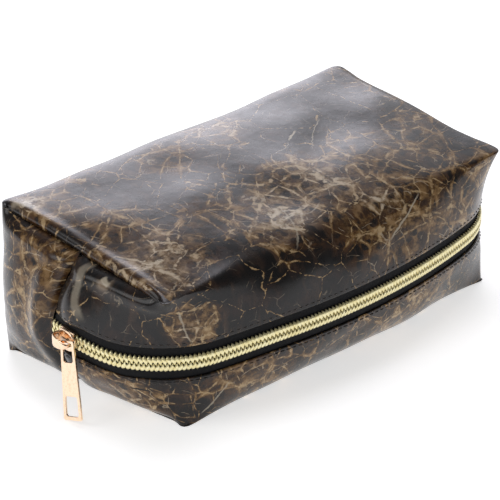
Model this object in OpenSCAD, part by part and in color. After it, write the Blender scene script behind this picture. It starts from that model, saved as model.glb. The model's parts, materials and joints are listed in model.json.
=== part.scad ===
// Soft boxed cosmetic pouch with a zip that runs round the front from end seam to end seam.
// Frame: origin at the middle of the resting face, +X along the length, -Y to the zip, +Z up.

/* [Pouch] */
// Length between the boxed corners
pouch_l = 200; // [180:1:240]
// Depth between the boxed corners
pouch_w = 106; // [96:1:130]
// Height of the flat top
pouch_h = 71; // [66:1:84]
// How far each end swells at zip height
end_swell = 14; // [10:1:16]
// How far the front and the rear swell at zip height
side_swell = 14; // [12:1:16]
// Radius of the boxed corner tips in plan
edge_r = 4; // [4:0.5:8]
// Bow of the long top and bottom edges
edge_bow = 1.5; // [1:0.5:3]
// Radius of the soft front corners at zip height
corner_r = 50; // [44:1:52]
// Radius of the rear corners at zip height
rear_r = 32; // [28:1:50]
// Bow of the long walls at zip height
zip_bow = 8; // [6:1:10]

/* [Layers] */
// Thickness of the coated outer sheet
outer_t = 1; // [0.8:0.1:1.2]
// Thickness of the interlining
interlining_t = 0.8; // [0.5:0.1:0.9]
// Thickness of the lining cloth
lining_t = 0.3; // [0.2:0.1:0.5]
// Gap between layers that meet
layer_gap = 0.3; // [0.2:0.05:0.4]

/* [Zip] */
// Height of the middle of the zip
zip_z = 32.5; // [30:0.5:36]
// Width of the closed coil
coil_w = 6.2; // [5.6:0.1:6.4]
// Thickness of the coil
coil_t = 1.8; // [1.6:0.1:2]
// Clear channel along the middle of the chain for the slider's post
channel_w = 2; // [1.8:0.1:2.2]
// Tape that shows on each side of the zip's middle
tape_show = 7.6; // [7:0.1:8]
// Tape held in the seam behind the outer sheet
tape_held = 4; // [3:0.5:6]
// Thickness of the zip tape
tape_t = 0.6; // [0.4:0.1:0.6]
// Stretch of the upper zip half that stays sewn down at each end
zip_end = 22; // [20:1:26]

/* [Slider] */
// How far the slider stands in front of the end seams
slider_y = 6.2; // [6.2:0.2:9]
// Length of the slider body
slider_l = 11.2; // [10:0.2:11.4]
// Width of the slider at its open end
slider_w = 10.2; // [9.8:0.1:10.4]
// Width of the slider at its closing end
slider_tail_w = 9; // [9:0.1:9.6]
// Thickness of each slider plate
plate_t = 1.3; // [1:0.1:1.4]
// Clear height under the bridge
bridge_gap = 3.9; // [3.9:0.1:4.2]
// Thickness of the bridge
bridge_t = 1.2; // [1:0.1:1.4]
// Width of the bridge
bridge_w = 2.6; // [2.2:0.1:2.8]

/* [Pull tab] */
// Length of the tab below the bridge's leg
tab_drop = 32.4; // [28:0.2:32.4]
// Width of the tab at its top
tab_top_w = 7.2; // [7:0.1:7.6]
// Width of the tab at its tip
tab_tip_w = 10.2; // [9:0.1:10.4]
// Thickness of the tab
tab_t = 0.9; // [0.8:0.1:1]
// How far the tab turns towards the front
tab_yaw = 15; // [5:1:15]
// How far the tab's tip leans away from the wall
tab_lean = 9; // [8:1:12]
// How far the tab hangs swung towards the front
tab_hang = 15; // [0:1:20]

/* [Hidden] */

half_l = pouch_l / 2;
half_w = pouch_w / 2;
// Half the gap where the flap meets the body along the fold and the end seams
fold_gap = 0.15;
// Segments of each quarter outline: end face, corner arc, long wall
end_segments = 2;
corner_segments = 9;
wall_segments = 4;
quarter_segments = end_segments + corner_segments + wall_segments;
half_count = 2 * quarter_segments + 1;
// How sharply the walls turn in towards the top and the bottom
wall_power = 2.2;

outer_edge_low = zip_z - tape_show;
outer_edge_high = zip_z + tape_show;
tape_in = outer_t + layer_gap;
interlining_in = tape_in;
lining_in = tape_in + max(tape_t, interlining_t) + layer_gap;
lining_clear = 1.5;
tape_low = outer_edge_low - tape_held;
tape_high = outer_edge_high + tape_held;
interlining_clear = 1;
layer_low = tape_low - interlining_clear;
layer_high = tape_high + interlining_clear;
coil_out = -0.6;

// Shape of the zip path: the corner arcs that the slider follows
corner_x = half_l + end_swell - corner_r;
corner_y = half_w + side_swell - corner_r - zip_bow;
seam_recess = corner_r - sqrt(corner_r * corner_r - corner_y * corner_y);
slider_turn = 180 - asin((corner_y - slider_y) / corner_r);
slider_play = 0.3;
back_play = 0.7;

stitch_rise = 0.3;
stitch_gap = 0.08;
stitch_w = 0.4;
stitch_back = 1.5;

binding_t = 1.8;
binding_w = 2.5;
binding_clear = 8.5;
binding_gap = 0.9;
boxed_x = half_l - 2.5;
boxed_h = 3.5;
boxed_low = 3;
boxed_half = half_w - 9;

leather = [0.20, 0.14, 0.11];
felt = [0.75, 0.74, 0.70];
lining_black = [0.06, 0.06, 0.07];
tape_black = [0.04, 0.04, 0.05];
pale_gold = [0.85, 0.76, 0.48];
rose_gold = [0.90, 0.70, 0.50];
thread = [0.10, 0.08, 0.07];

// 1 at zip height and 0 at the top and the bottom
function swell(z) =
    1 - pow(abs(z - zip_z) / (z < zip_z ? zip_z : pouch_h - zip_z), wall_power);

// One quarter of the outline, from the end seam to the middle of the long wall,
// at swell w and inset d, starting y0 away from the seam plane: side -1 is the front
function quarter(w, d, side, y0) =
    let(a = half_l + end_swell * w - d,
        b = half_w + side_swell * w - d,
        r = edge_r + ((side < 0 ? corner_r : rear_r) - edge_r) * w - d,
        bow = edge_bow + (zip_bow - edge_bow) * w,
        cx = a - r,
        cy = b - r - bow,
        wall_r = (2 * r * bow + bow * bow + cx * cx) / (2 * bow),
        turn = atan2(cx, wall_r - r - bow))
    concat(
        [for (i = [0:end_segments - 1])
            let(y = y0 + (cy - y0) * i / end_segments)
            [a - seam_recess * (0.1 + 0.9 * w) * pow(1 - y / cy, 2), y]],
        [for (i = [0:corner_segments - 1])
            let(t = (90 - turn) * i / corner_segments)
            [cx + r * cos(t), cy + r * sin(t)]],
        [for (i = [0:wall_segments])
            let(t = turn * (1 - i / wall_segments))
            [wall_r * sin(t), b - wall_r + wall_r * cos(t)]]);

// Half outline from one end seam to the other: side -1 is the front, 1 the rear
function half_outline(w, d, side, y0) =
    let(q = quarter(w, d, side, y0), n = quarter_segments)
    concat(
        [for (i = [0:n]) [side * q[i][0], side * q[i][1]]],
        [for (i = [n - 1:-1:0]) [-side * q[i][0], side * q[i][1]]]);

function lift(points, z) = [for (p = points) [p[0], p[1], z]];

function flat_rows(rows) = [for (row = rows) for (p = row) p];

// Part of a list, from index a to index b
function slice(list, a, b) = [for (i = [a:b]) list[i]];

// The two triangles of a quad, wound a-b-c-d
function quad(a, b, c, d) = [[a, b, c], [a, c, d]];

// Quads between two index chains of equal length
function strip(a, b) = [for (i = [0:len(a) - 2]) each quad(a[i], a[i + 1], b[i + 1], b[i])];

// A sheet of one side of the pouch between heights, with its own thickness.
// outer_zs and inner_zs give the rows of its two faces; capped closes it over the top
// as far as the fold. first and last pick columns of the half outline.
module wall_sheet(side, outer_zs, inner_zs, outer_d, inner_d, capped, first = 0,
                  last = half_count - 1) {
    rows = len(outer_zs);
    cols = last - first + 1;
    outer = [for (z = outer_zs)
        lift(slice(half_outline(swell(z), outer_d, side, fold_gap), first, last), z)];
    inner = [for (z = inner_zs)
        lift(slice(half_outline(swell(z), inner_d, side, fold_gap), first, last), z)];
    base = rows * cols;
    function o(j) = [for (i = [0:cols - 1]) j * cols + i];
    function n(j) = [for (i = [0:cols - 1]) base + j * cols + i];
    function o_col(i) = [for (j = [0:rows - 1]) j * cols + i];
    function n_col(i) = [for (j = [0:rows - 1]) base + j * cols + i];
    top = rows - 1;
    walls = concat(
        [for (j = [0:rows - 2]) each strip(o(j + 1), o(j))],
        [for (j = [0:rows - 2]) each strip(n(j), n(j + 1))],
        strip(o(0), n(0)),
        strip(o_col(0), n_col(0)),
        strip(n_col(cols - 1), o_col(cols - 1)));
    caps = capped
        ? concat([[for (i = [cols - 1:-1:0]) o(top)[i]]], [n(top)],
                 quad(o(top)[0], o(top)[cols - 1], n(top)[cols - 1], n(top)[0]))
        : strip(n(top), o(top));
    polyhedron(points = concat(flat_rows(outer), flat_rows(inner)),
               faces = concat(walls, caps), convexity = 6);
}

// A tray with a full rim at heights zs up to the front edge, whose rear carries on
// to the top and over it as far as the fold
module body_sheet(low_outer, low_inner, high_outer, high_inner, outer_d, inner_d) {
    k = len(low_outer) - 1;
    extra = len(high_outer);
    loop = 2 * half_count;
    function ring(z, d) = concat(
        lift(half_outline(swell(z), d, -1, fold_gap), z),
        lift(half_outline(swell(z), d, 1, fold_gap), z));
    function rear(z, d) = lift(half_outline(swell(z), d, 1, fold_gap), z);
    outer = concat(
        [for (z = low_outer) ring(z, outer_d)],
        [for (z = high_outer) rear(z, outer_d)]);
    inner = concat(
        [for (z = low_inner) ring(z, inner_d)],
        [for (z = high_inner) rear(z, inner_d)]);
    base = (k + 1) * loop + extra * half_count;
    // Index of a point: s 0 outer or 1 inner, row j, loop column c
    function at(s, j, c) = s * base + (j <= k ? j * loop + c
        : (k + 1) * loop + (j - k - 1) * half_count + c - half_count);
    function closed(s, j) = [for (c = [0:loop]) at(s, j, c % loop)];
    function open(s, j) = [for (c = [half_count:loop - 1]) at(s, j, c)];
    function column(s, c) = [for (j = [k:k + extra]) at(s, j, c)];
    function rim(s) = concat([at(s, k, loop - 1)],
        [for (c = [0:half_count]) at(s, k, c)]);
    top = k + extra;
    faces = concat(
        [for (j = [0:k - 1]) each strip(closed(0, j + 1), closed(0, j))],
        [for (j = [0:k - 1]) each strip(closed(1, j), closed(1, j + 1))],
        [for (j = [k:top - 1]) each strip(open(0, j + 1), open(0, j))],
        [for (j = [k:top - 1]) each strip(open(1, j), open(1, j + 1))],
        [[for (c = [0:loop - 1]) at(0, 0, c)]],
        [[for (c = [loop - 1:-1:0]) at(1, 0, c)]],
        [[for (c = [loop - 1:-1:half_count]) at(0, top, c)]],
        [[for (c = [half_count:loop - 1]) at(1, top, c)]],
        strip(rim(1), rim(0)),
        strip(column(0, half_count), column(1, half_count)),
        strip(column(1, loop - 1), column(0, loop - 1)),
        quad(at(0, top, half_count), at(0, top, loop - 1),
             at(1, top, loop - 1), at(1, top, half_count)));
    polyhedron(points = concat(flat_rows(outer), flat_rows(inner)), faces = faces,
               convexity = 8);
}

// Heights of a layer's rows below and above the zip. Every layer shares the rows between
// the tape and the floor or the top, so that nested layers stay parallel.
function low_rows(floor_z, edge) = concat(
    [floor_z],
    [for (t = [0.2, 0.4, 0.6, 0.8]) t * layer_low],
    edge > layer_low ? [layer_low, edge] : [layer_low]);
function high_rows(edge, top_z) = concat(
    [for (z = [outer_edge_low, zip_z, outer_edge_high, layer_high]) if (z > edge) z],
    [for (t = [0.2, 0.4, 0.6, 0.8, 0.9]) layer_high + (pouch_h - layer_high) * t],
    [top_z]);

// One body layer between two insets, with its front edge at height edge
module body_layer(outer_d, inner_d, edge) {
    body_sheet(low_rows(outer_d, edge), low_rows(inner_d, edge),
               high_rows(edge, pouch_h - outer_d), high_rows(edge, pouch_h - inner_d),
               outer_d, inner_d);
}

// One flap layer between two insets, with its lower edge at height edge
module flap_layer(outer_d, inner_d, edge) {
    wall_sheet(-1, concat([edge], high_rows(edge, pouch_h - outer_d)),
               concat([edge], high_rows(edge, pouch_h - inner_d)), outer_d, inner_d, true);
}

module outer_body() {
    color(leather) body_layer(0, outer_t, outer_edge_low);
}

module outer_flap() {
    color(leather) flap_layer(0, outer_t, outer_edge_high);
}

module interlining_body() {
    color(felt)
        body_layer(interlining_in, interlining_in + interlining_t, layer_low);
}

module interlining_flap() {
    color(felt)
        flap_layer(interlining_in, interlining_in + interlining_t, layer_high);
}

module lining_body() {
    color(lining_black)
        body_layer(lining_in, lining_in + lining_t, outer_edge_low - lining_clear);
}

module lining_flap() {
    color(lining_black)
        flap_layer(lining_in, lining_in + lining_t, outer_edge_high + lining_clear);
}

// A band of the front half of the zip between two heights and two insets
module zip_band(low, high, outer_d, inner_d, first = 0, last = half_count - 1) {
    zs = [low, (low + high) / 2, high];
    wall_sheet(-1, zs, zs, outer_d, inner_d, false, first, last);
}

// Keeps what lies between two distances in front of the seam plane
module keep_front(near, far) {
    reach = pouch_l + 2 * end_swell + 20;
    intersection() {
        children();
        translate([-reach / 2, -far, 0])
            cube([reach, far - near, pouch_h + 10]);
    }
}

// Keeps one end: side -1 is the left one
module keep_end(side) {
    reach = half_l + end_swell + 10;
    intersection() {
        children();
        translate([side > 0 ? 0 : -reach, -zip_end, 0])
            cube([reach, zip_end, pouch_h + 10]);
    }
}

// The upper tape from the channel up to height high
module tape_upper_whole(high) {
    zip_band(zip_z + channel_w / 2, high, tape_in, tape_in + tape_t);
}

module coil_upper_whole() {
    zip_band(zip_z + channel_w / 2, zip_z + coil_w / 2, coil_out, coil_out + coil_t);
}

module zip_tape_lower() {
    color(tape_black)
        zip_band(tape_low, zip_z - channel_w / 2, tape_in, tape_in + tape_t);
}

module zip_tape_upper() {
    color(tape_black) keep_front(zip_end + 2 * fold_gap, pouch_w) tape_upper_whole(tape_high);
}

module zip_tape_upper_left_end() {
    color(tape_black) keep_end(-1) tape_upper_whole(outer_edge_high - 2 * fold_gap);
}

module zip_tape_upper_right_end() {
    color(tape_black) keep_end(1) tape_upper_whole(outer_edge_high - 2 * fold_gap);
}

module zip_coil_lower() {
    color(pale_gold)
        zip_band(zip_z - coil_w / 2, zip_z - channel_w / 2, coil_out, coil_out + coil_t);
}

module zip_coil_upper() {
    color(pale_gold) keep_front(zip_end + 2 * fold_gap, pouch_w) coil_upper_whole();
}

module zip_coil_upper_left_end() {
    color(pale_gold) keep_end(-1) coil_upper_whole();
}

module zip_coil_upper_right_end() {
    color(pale_gold) keep_end(1) coil_upper_whole();
}

module topstitch_lower() {
    z = outer_edge_low - stitch_back;
    color(thread) zip_band(z - stitch_w, z, -stitch_rise, -stitch_gap);
}

module topstitch_upper() {
    z = outer_edge_high + stitch_back;
    color(thread) zip_band(z, z + stitch_w, -stitch_rise, -stitch_gap);
}

// Bound seam allowance that runs down the inside of one end, beside the seam
module end_binding(side) {
    inset = lining_in + lining_t + seam_recess + binding_gap;
    steps = 8;
    low = binding_clear;
    high = pouch_h - binding_clear;
    zs = [for (i = [0:steps]) low + (high - low) * i / steps];
    function reach(z) = side * (half_l + end_swell * swell(z) - inset);
    translate([0, 0.4 + binding_w, 0])
        rotate([90, 0, 0])
            linear_extrude(binding_w)
                polygon(concat(
                    [for (z = zs) [reach(z), z]],
                    [for (i = [steps:-1:0]) [reach(zs[i]) - side * binding_t, zs[i]]]));
}

module end_seam_binding_left() {
    color(lining_black) end_binding(-1);
}

module end_seam_binding_right() {
    color(lining_black) end_binding(1);
}

// Bound allowance of one boxed corner seam, from y0 to y1 at height z
module boxed_binding(side, y0, y1, z) {
    translate([side > 0 ? boxed_x - binding_t : -boxed_x, y0, z])
        cube([binding_t, y1 - y0, boxed_h]);
}

boxed_high = pouch_h - boxed_low - boxed_h;

module boxed_binding_lower_left() {
    color(lining_black) boxed_binding(-1, -boxed_half, boxed_half, boxed_low);
}

module boxed_binding_lower_right() {
    color(lining_black) boxed_binding(1, -boxed_half, boxed_half, boxed_low);
}

module boxed_binding_rear_left() {
    color(lining_black) boxed_binding(-1, 2 * fold_gap, boxed_half, boxed_high);
}

module boxed_binding_rear_right() {
    color(lining_black) boxed_binding(1, 2 * fold_gap, boxed_half, boxed_high);
}

module boxed_binding_flap_left() {
    color(lining_black) boxed_binding(-1, -boxed_half, -2 * fold_gap, boxed_high);
}

module boxed_binding_flap_right() {
    color(lining_black) boxed_binding(1, -boxed_half, -2 * fold_gap, boxed_high);
}

// Places its children at the left corner arc: +X out of the wall, +Y along the chain
// towards the front, +Z up, with X measured from the arc's centre
module at_slider() {
    translate([-corner_x, -corner_y, zip_z])
        rotate([0, 0, slider_turn])
            children();
}

// A curved slab of the slider between two radii, cut to the outline of its children
module slider_slab(r0, r1) {
    span = 40;
    intersection() {
        rotate_extrude($fn = 180)
            translate([r0, -slider_w])
                square([r1 - r0, 2 * slider_w]);
        translate([r0 - 5, 0, 0])
            rotate([90, 0, 90])
                linear_extrude(span)
                    children();
    }
}

plate_r = corner_r - coil_out + slider_play;
back_r = corner_r - tape_in - tape_t - back_play;
flange_y = coil_w / 2 + slider_play;
flange_r = corner_r - tape_in + slider_play;
bridge_r = plate_r + plate_t;

module slider_outline() {
    chamfer = 2;
    polygon([
        [-slider_l / 2, -slider_w / 2 + chamfer],
        [-slider_l / 2 + chamfer, -slider_w / 2],
        [0, -slider_w / 2],
        [slider_l / 2, -slider_tail_w / 2],
        [slider_l / 2, slider_tail_w / 2],
        [0, slider_w / 2],
        [-slider_l / 2 + chamfer, slider_w / 2],
        [-slider_l / 2, slider_w / 2 - chamfer]]);
}

module slider_body() {
    post_l = 3;
    post_w = channel_w - 2 * slider_play;
    color(rose_gold) at_slider() {
        slider_slab(plate_r, plate_r + plate_t) slider_outline();
        slider_slab(back_r - plate_t, back_r) slider_outline();
        slider_slab(flange_r, plate_r + plate_t / 2)
            difference() {
                slider_outline();
                translate([-slider_l, -flange_y])
                    square([2 * slider_l, 2 * flange_y]);
            }
        translate([back_r - plate_t / 2, -slider_l / 2 + 0.6, -post_w / 2])
            cube([plate_r - back_r + plate_t, post_l, post_w]);
    }
}

// The round front leg of the bridge, which the tab hangs from, and its place along the chain
leg_r = 0.65;
leg_y = 4.2;
// Height of the tab's pivot over the slider's plate
tab_rise = 2;

module slider_bridge() {
    outer_r = 2.4;
    inner_r = outer_r - bridge_t;
    rear_y = -leg_y - bridge_t / 2;
    front_y = leg_y + bridge_t / 2;
    foot = 0.2;
    top_x = bridge_gap + bridge_t;
    color(rose_gold) at_slider() {
        translate([bridge_r + foot, leg_y, 0])
            rotate([0, 90, 0])
                cylinder(h = bridge_gap, r = leg_r, $fn = 48);
        translate([bridge_r, 0, -bridge_w / 2])
            linear_extrude(bridge_w)
                difference() {
                    union() {
                        translate([foot, rear_y])
                            square([top_x - outer_r - foot, front_y - rear_y]);
                        translate([foot, rear_y + outer_r])
                            square([top_x - foot, front_y - rear_y - 2 * outer_r]);
                        for (y = [rear_y + outer_r, front_y - outer_r])
                            translate([top_x - outer_r, y]) circle(outer_r, $fn = 64);
                    }
                    translate([-1, rear_y + bridge_t])
                        square([bridge_gap - inner_r + 1, front_y - rear_y - 2 * bridge_t]);
                    translate([-1, rear_y + outer_r])
                        square([bridge_gap + 1, front_y - rear_y - 2 * outer_r]);
                    for (y = [rear_y + outer_r, front_y - outer_r])
                        translate([bridge_gap - inner_r, y]) circle(inner_r, $fn = 64);
                    translate([-1, 0])
                        square([bridge_gap + 1, front_y]);
                }
    }
}

// Leaf spring under the bridge that holds the locking pin down into the coil
module slider_lock_spring() {
    leaf_l = 5.4;
    leaf_w = 1.6;
    leaf_t = 0.25;
    rise = 0.25;
    color("silver") at_slider()
        translate([bridge_r + rise, -leaf_l / 2 - 0.5, -leaf_w / 2])
            cube([leaf_t, leaf_l, leaf_w]);
}

// Flat tab with a window for the bridge near the top and a second one near the tip
module pull_tab() {
    window_top = leg_r + 0.15;
    bar = 1.3;
    window_w = 4;
    window_h = 7.6;
    tip_window_w = 5.6;
    tip_window_h = 7.6;
    tip_window_up = 2.2;
    round_r = 0.8;
    top = window_top + bar;
    color(rose_gold) at_slider()
        translate([bridge_r + tab_rise, leg_y, 0])
            rotate([tab_hang, 0, 0]) rotate([0, -tab_lean, tab_yaw])
                translate([-tab_t / 2, 0, 0])
                    rotate([90, 0, 90])
                        linear_extrude(tab_t)
                            difference() {
                                hull()
                                    for (s = [-1, 1]) {
                                        translate([s * (tab_top_w / 2 - round_r), top - round_r])
                                            circle(round_r, $fn = 32);
                                        translate([s * (tab_tip_w / 2 - round_r),
                                                   round_r - tab_drop])
                                            circle(round_r, $fn = 32);
                                    }
                                translate([-window_w / 2, window_top - window_h])
                                    square([window_w, window_h]);
                                translate([-tip_window_w / 2, tip_window_up - tab_drop])
                                    square([tip_window_w, tip_window_h]);
                            }
}

outer_body();
outer_flap();
interlining_body();
interlining_flap();
lining_body();
lining_flap();
zip_tape_lower();
zip_tape_upper();
zip_tape_upper_left_end();
zip_tape_upper_right_end();
zip_coil_lower();
zip_coil_upper();
zip_coil_upper_left_end();
zip_coil_upper_right_end();
topstitch_lower();
topstitch_upper();
end_seam_binding_left();
end_seam_binding_right();
boxed_binding_lower_left();
boxed_binding_lower_right();
boxed_binding_rear_left();
boxed_binding_rear_right();
boxed_binding_flap_left();
boxed_binding_flap_right();
slider_body();
slider_bridge();
slider_lock_spring();
pull_tab();
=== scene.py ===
"""Looks of a soft boxed cosmetic pouch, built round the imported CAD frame, in metres."""

import json
import math

import bmesh
import bpy
import numpy as np
from mathutils import Matrix, Vector


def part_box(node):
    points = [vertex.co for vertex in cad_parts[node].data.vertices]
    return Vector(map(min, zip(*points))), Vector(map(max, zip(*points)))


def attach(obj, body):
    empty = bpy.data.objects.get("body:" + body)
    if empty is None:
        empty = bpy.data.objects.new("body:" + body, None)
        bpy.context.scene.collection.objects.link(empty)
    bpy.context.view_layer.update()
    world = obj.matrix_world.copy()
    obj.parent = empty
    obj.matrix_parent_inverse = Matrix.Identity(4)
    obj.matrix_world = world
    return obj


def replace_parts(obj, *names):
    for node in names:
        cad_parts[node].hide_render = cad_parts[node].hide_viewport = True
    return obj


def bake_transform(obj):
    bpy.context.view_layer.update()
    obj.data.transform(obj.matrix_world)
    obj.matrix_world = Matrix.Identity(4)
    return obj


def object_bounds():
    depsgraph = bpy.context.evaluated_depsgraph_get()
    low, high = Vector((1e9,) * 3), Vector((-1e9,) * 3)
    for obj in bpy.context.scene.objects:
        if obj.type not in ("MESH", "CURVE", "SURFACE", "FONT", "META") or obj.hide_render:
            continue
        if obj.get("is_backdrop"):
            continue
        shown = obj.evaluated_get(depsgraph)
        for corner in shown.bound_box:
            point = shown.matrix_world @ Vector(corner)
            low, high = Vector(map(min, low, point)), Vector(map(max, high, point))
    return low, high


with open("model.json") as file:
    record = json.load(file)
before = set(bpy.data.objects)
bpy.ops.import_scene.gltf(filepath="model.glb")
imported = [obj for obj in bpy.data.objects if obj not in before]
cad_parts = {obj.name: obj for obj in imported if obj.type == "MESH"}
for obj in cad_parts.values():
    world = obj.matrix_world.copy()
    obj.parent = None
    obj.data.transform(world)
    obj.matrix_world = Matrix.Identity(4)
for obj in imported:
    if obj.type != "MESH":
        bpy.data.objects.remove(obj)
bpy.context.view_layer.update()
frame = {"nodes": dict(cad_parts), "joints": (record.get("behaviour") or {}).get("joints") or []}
# A millimetre in metres, and in the centimetres of the stored fabric and rest positions
MM, CM = 0.001, 0.1

# ---- frame measures, in mm
JOINTS = {j["name"]: j for j in frame["joints"]}


def node_box(name):
    low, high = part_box(name)
    return np.array(low) / MM, np.array(high) / MM


PIVOT = np.array(JOINTS["slider_travel"]["pos_m"], float) / MM
OUT = np.array(JOINTS["tab_swing"]["axis"], float)
OUT /= np.linalg.norm(OUT)
TAB_PIVOT = np.array(JOINTS["tab_swing"]["pos_m"], float) / MM
ALONG = np.cross([0, 0, 1], OUT)
HALF_L, HALF_W, HEIGHT = node_box("outer_body")[1]
ZIP_Z = PIVOT[2]
ARC_R = HALF_L + PIVOT[0]
ARC_Y = -PIVOT[1]
# Half length and half width of the flat top between the boxed corners
FLAT_L, FLAT_W = 100.0, 53.0
EDGE_HIGH = node_box("outer_flap")[0][2]
EDGE_LOW = 2 * ZIP_Z - EDGE_HIGH


# ---- outlines
def quarter_table(a, b, r, bow, recess=0.0):
    """A quarter outline from the end seam to the middle of the long wall, finely spaced,
    with the distance along it as a share of its length."""
    cx, cy = a - r, b - r - bow
    wall_r = (2 * r * bow + bow * bow + cx * cx) / (2 * bow)
    turn = math.atan2(cx, wall_r - r - bow)
    back = math.asin(cy / r) if cy < ARC_Y + 1 else 0
    line = [] if back else [(a - recess * (1 - y / cy) ** 2, y)
                            for y in np.linspace(0, cy, 40)[:-1]]
    arc = [(cx + r * math.cos(t), cy + r * math.sin(t))
           for t in np.linspace(-back, math.pi / 2 - turn, 160)[:-1]]
    wall = [(wall_r * math.sin(t), b - wall_r + wall_r * math.cos(t))
            for t in np.linspace(turn, 0, 160)]
    points = np.array(line + arc + wall)
    along = np.r_[0, np.cumsum(np.linalg.norm(np.diff(points, axis=0), axis=1))]
    return points, along / along[-1], along[-1]


SIDE_BOW = HALF_W - ARC_R - ARC_Y
SEAM_RECESS = ARC_R - math.sqrt(ARC_R ** 2 - ARC_Y ** 2)
FRONT_RING = quarter_table(HALF_L, HALF_W, ARC_R, SIDE_BOW)
# Radius of the rear corners at zip height, judged from the outline; 3 mm less than the CAD's
REAR_R = 29.0
REAR_RING = quarter_table(HALF_L, HALF_W, REAR_R, SIDE_BOW, SEAM_RECESS)
# Radius of the boxed tips, the bow of the top's long edges, and how far the soft top stands
# past its flat size at the ends and the sides
TIP_R, TOP_BOW = 3.4, 1.5
OVER_L, OVER_W = 0.8, 1.9
TOP_RING = quarter_table(FLAT_L + OVER_L, FLAT_W + OVER_W, TIP_R, TOP_BOW)
# Length of the half wall, and the share of it between the end seam and the boxed tip
QUARTER = FRONT_RING[2]
TIP = (FLAT_W + OVER_W - TOP_BOW - TIP_R * (1 - math.pi / 4)) / TOP_RING[2]


def ring(tables, u):
    """Points of the closed outline at u: 0 the left end seam, 1 the middle of its own side,
    2 the right end seam, and below 0 or above 2 the other side, which has its own table."""
    own, other = tables
    turned = u > 1
    v = np.where(turned, 2 - u, u)
    behind = v < 0
    far = np.abs(v) * own[2] / other[2]
    x, y = (np.where(behind, np.interp(far, other[1], other[0][:, i]),
                     np.interp(v, own[1], own[0][:, i])) for i in (0, 1))
    return np.stack([np.where(turned, x, -x), np.where(behind, y, -y)], -1)


def smooth(t, low=0.0, high=1.0):
    t = np.clip((t - low) / (high - low), 0, 1)
    return t * t * (3 - 2 * t)


def bump(t, width):
    return np.exp(-(t / width) ** 2)


def swell(z):
    """How far out the wall is at a height: 1 at the zip, 0 at the base and the top."""
    height = np.where(z < ZIP_Z, ZIP_Z, HEIGHT - ZIP_Z)
    return 1 - np.clip(np.abs(z - ZIP_Z) / height, 0, 1) ** 2.2


# How far the end seams stand to the front at zip height, and how deep they pull in
SEAM_SHIFT = 8.0
SEAM_DEPTH = 3.2
# How far the zip sags round the soft front left corner
ZIP_DIP = 1.9


def wall(side, u, z, d=0.0):
    """Points of the wall in mm: side -1 the front or 1 the rear, u along the half outline,
    z the height, d the inset."""
    u, z, d = np.broadcast_arrays(*(np.asarray(v, float) for v in (u, z, d)))
    w = swell(z)
    belly = (FRONT_RING, REAR_RING) if side < 0 else (REAR_RING, FRONT_RING)
    slide = SEAM_SHIFT / belly[0][2] * w ** 1.5 * np.clip(1 - u / 0.35, 0, 1) ** 2
    v = u + side * slide
    step = 0.004
    at_zip = ring(belly, v)
    ahead = ring(belly, v + step) - ring(belly, v - step)
    xy = ring((TOP_RING, TOP_RING), v) * (1 - w)[..., None] + at_zip * w[..., None]
    normal = np.stack([ahead[..., 1], -ahead[..., 0]], -1)
    normal /= np.linalg.norm(normal, axis=-1, keepdims=True)
    near = QUARTER * np.minimum(u, 2 - u)
    by_zip = bump(z - ZIP_Z, 9.0)
    valley = SEAM_DEPTH * (1 - 0.75 * by_zip) * w ** 0.5 * (0.8 * bump(near, 3.2)
                                                            + 0.8 * bump(near, 1.0))
    puff = 2.4 * w * (1 - by_zip * (side < 0)) * bump(near - 10, 6.0) * smooth(near, 0, 6)
    xy = xy - normal * (d + valley - puff)[..., None]
    from_seam = QUARTER * u
    dip = (side < 0) * ZIP_DIP * bump(z - ZIP_Z, 24.0)
    dip = dip * smooth(from_seam, 14, 36) * (1 - smooth(from_seam, 62, 112))
    point = np.concatenate([xy, (z - dip)[..., None]], -1)
    point[..., 1] *= -side
    return point


# How the soft corners stand off the plain shape: x sign, y sign, top, shift, how local
CORNERS = [
    (-1, 1, 1, (-1.4, 1.7, -0.6), 1), (-1, -1, 1, (-1.6, -1.2, -3.6), 1),
    (1, -1, 1, (-0.4, -1.1, -2.6), 1), (1, 1, 1, (1.5, 1.3, 3.2), 1),
    (-1, 1, 0, (-5.3, -3.0, 0.0), 1), (-1, -1, 0, (9.4, -0.5, 0.0), 1),
    (1, -1, 0, (-2.3, 2.8, 0.0), 1), (-1, -1, 1, (0.0, -0.4, -2.8), 4),
]
# Wave vectors, phases and heights of the wall's unevenness
WAVES = [
    ((0.043, 0.021, 0.052), 0.3, 0.34), ((-0.031, 0.057, 0.038), 1.9, 0.30),
    ((0.068, -0.044, 0.061), 4.1, 0.20), ((0.022, 0.083, -0.047), 2.6, 0.20),
    ((0.091, 0.036, -0.082), 5.2, 0.13), ((-0.074, 0.098, 0.071), 0.9, 0.12),
]


def settle(points):
    """Moves points of the plain shape to where the soft corners and slack put them."""
    p = points.copy()
    away = 1 - swell(points[:, 2])
    fx, fy = points[:, 0] / FLAT_L, points[:, 1] / FLAT_W
    for sx, sy, top, shift, local in CORNERS:
        level = (points[:, 2] > ZIP_Z) if top else (points[:, 2] <= ZIP_Z)
        share = np.clip((1 + sx * fx) / 2, 0, 1) * np.clip((1 + sy * fy) / 2, 0, 1)
        p += (share ** local * away * level)[:, None] * np.array(shift)
    return p


def slack(points):
    """Low, wide unevenness of a soft wall, nil along the zip."""
    total = np.zeros(len(points))
    for k, phase, height in WAVES:
        total += height * np.sin(points @ np.array(k) * 1.7 + phase)
    return total * smooth(np.abs(points[:, 2] - ZIP_Z), 7, 18)


# ---- grids
def graded(length, step, first, last):
    """Positions from 0 to length, at most step apart, closer at either end."""
    x = np.linspace(0, length, 2000)
    size = np.minimum(step, np.minimum(first + 0.28 * x, last + 0.28 * (length - x)))
    count = np.r_[0, np.cumsum(np.diff(x) / ((size[1:] + size[:-1]) / 2))]
    n = max(2, int(round(count[-1])))
    return np.interp(np.linspace(0, count[-1], n + 1), count, x)


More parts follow.
